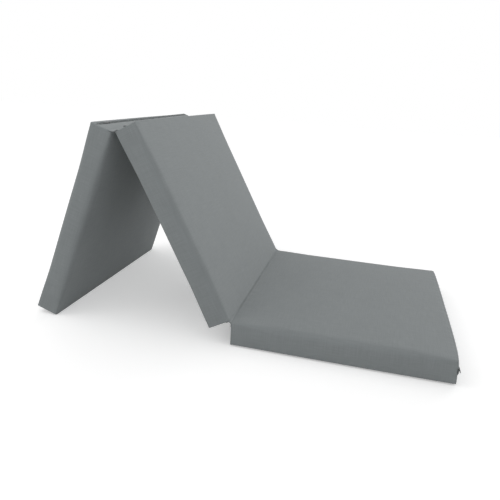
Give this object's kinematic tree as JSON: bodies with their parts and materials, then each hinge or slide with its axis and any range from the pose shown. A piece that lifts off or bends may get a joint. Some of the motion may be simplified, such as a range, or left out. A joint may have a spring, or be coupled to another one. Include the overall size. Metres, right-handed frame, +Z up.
{
  "type": "folding mattress",
  "caption": "Tri-fold foam mattress in plain grey zipped covers, set up with one panel flat on the floor and the others standing as a tent behind it.",
  "frame": {"origin": "centre of the footprint's bounding box, on the floor", "axes": "+X from the head panel's foot towards the flat panel's outer end, +Y across the width to the far side, +Z up"},
  "size_m": [1.3124, 0.7, 0.6472],
  "materials": {
    "cover_cloth": "plain grey woven polyester, matte with a faint sheen",
    "fold_tape": "the cover's grey cloth, doubled and stitched",
    "zip_tape": "herringbone polyester zip tape",
    "zip_coil": "nylon coil, satin",
    "zip_slider": "zinc die casting, dark grey paint",
    "zip_stop": "pressed metal, dull",
    "foam": "open-cell polyurethane foam, matte"
  },
  "bodies": {
    "foot": {"foot_cover_sleeve": "cover_cloth", "foot_end_panel": "cover_cloth", "foot_zip_panel_upper": "cover_cloth", "foot_zip_panel_lower": "cover_cloth", "foot_foam_core": "foam", "foot_zip_tape_upper": "zip_tape", "foot_zip_tape_lower": "zip_tape", "foot_zip_coil_upper": "zip_coil", "foot_zip_coil_lower": "zip_coil", "foot_zip_top_stop": "zip_stop", "foot_zip_bottom_stop": "zip_stop", "crease_fold_tape": "fold_tape"},
    "middle": {"middle_cover_sleeve": "cover_cloth", "middle_end_panel": "cover_cloth", "middle_zip_panel_upper": "cover_cloth", "middle_zip_panel_lower": "cover_cloth", "middle_foam_core": "foam", "middle_zip_tape_upper": "zip_tape", "middle_zip_tape_lower": "zip_tape", "middle_zip_coil_upper": "zip_coil", "middle_zip_coil_lower": "zip_coil", "middle_zip_top_stop": "zip_stop", "middle_zip_bottom_stop": "zip_stop", "top_fold_tape": "fold_tape"},
    "head": {"head_cover_sleeve": "cover_cloth", "head_end_panel": "cover_cloth", "head_zip_panel_upper": "cover_cloth", "head_zip_panel_lower": "cover_cloth", "head_foam_core": "foam", "head_zip_tape_upper": "zip_tape", "head_zip_tape_lower": "zip_tape", "head_zip_coil_upper": "zip_coil", "head_zip_coil_lower": "zip_coil", "head_zip_top_stop": "zip_stop", "head_zip_bottom_stop": "zip_stop"},
    "foot_slider": {"foot_zip_slider": "zip_slider"},
    "foot_pull": {"foot_zip_pull": "zip_slider"},
    "middle_slider": {"middle_zip_slider": "zip_slider"},
    "middle_pull": {"middle_zip_pull": "zip_slider"},
    "head_slider": {"head_zip_slider": "zip_slider"},
    "head_pull": {"head_zip_pull": "zip_slider"}
  },
  "joints": [
    {"name": "crease_fold", "type": "hinge", "parent": "foot", "child": "middle", "pos_m": [0.00322, 0, 0.0803], "axis": [0, 1, 0], "range_deg": [-61.6, 118.4], "deforming": ["crease_fold_tape"]},
    {"name": "top_fold", "type": "hinge", "parent": "middle", "child": "head", "pos_m": [-0.37684, 0, 0.61374], "axis": [0, 1, 0], "range_deg": [-46.99, 133], "deforming": ["top_fold_tape"]},
    {"name": "foot_zip_slide", "type": "slide", "parent": "foot", "child": "foot_slider", "axis": [0, 1, 0], "range_m": [0, 0.6284]},
    {"name": "foot_pull_turn", "type": "hinge", "parent": "foot_slider", "child": "foot_pull", "pos_m": [0.65493, -0.3142, 0.044], "axis": [0, 0, 1], "range_deg": [0, 180]},
    {"name": "middle_zip_slide", "type": "slide", "parent": "middle", "child": "middle_slider", "axis": [0, 1, 0], "range_m": [0, 0.6284]},
    {"name": "middle_pull_turn", "type": "hinge", "parent": "middle_slider", "child": "middle_pull", "pos_m": [-0.34124, -0.3142, 0.63264], "axis": [-0.8796, 0, -0.4756], "range_deg": [0, 180]},
    {"name": "head_zip_slide", "type": "slide", "parent": "head", "child": "head_slider", "axis": [0, 1, 0], "range_m": [-0.045, 0.5834]},
    {"name": "head_pull_turn", "type": "hinge", "parent": "head_slider", "child": "head_pull", "pos_m": [-0.43333, -0.2692, 0.63243], "axis": [-0.9478, 0, 0.3189], "range_deg": [0, 180]}
  ]
}
